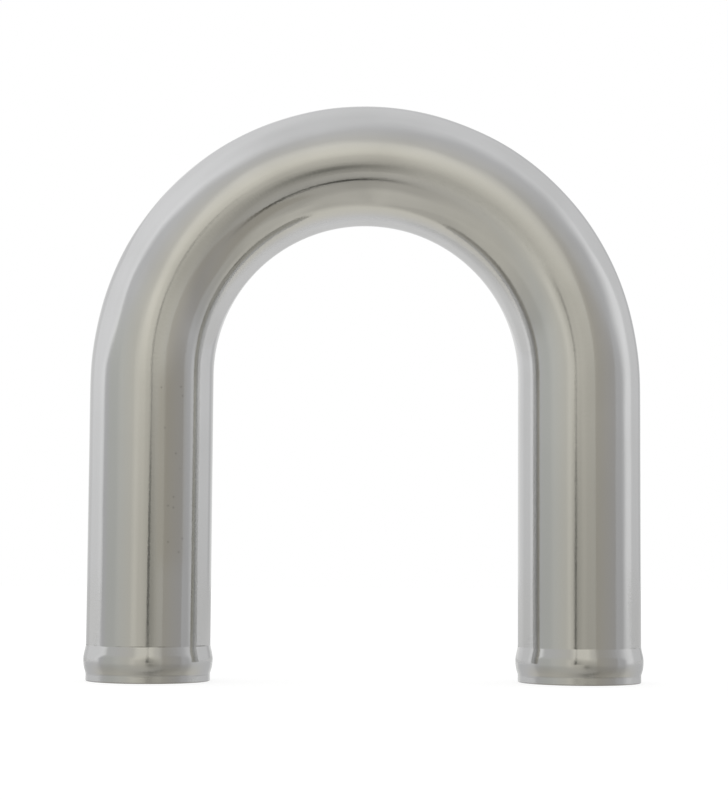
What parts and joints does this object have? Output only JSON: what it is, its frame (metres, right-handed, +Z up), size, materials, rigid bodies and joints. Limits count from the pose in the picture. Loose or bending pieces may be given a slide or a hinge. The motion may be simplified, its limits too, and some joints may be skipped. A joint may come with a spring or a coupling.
{
  "type": "return bend",
  "caption": "U-shaped metal tube that turns a pipe run back on itself, with straight parallel legs and a rolled hose bead at each open end.",
  "frame": {"origin": "on the plane of the two cut ends, midway between the legs", "axes": "+X from the left leg to the right leg, +Y from front to back, +Z up from the cut ends to the bend"},
  "size_m": [0.2306, 0.0528, 0.2403],
  "materials": {
    "tube_metal": "lightly polished drawn tube, satin, with faint lengthwise lines"
  },
  "bodies": {
    "root": {"return_bend": "tube_metal"}
  },
  "joints": []
}
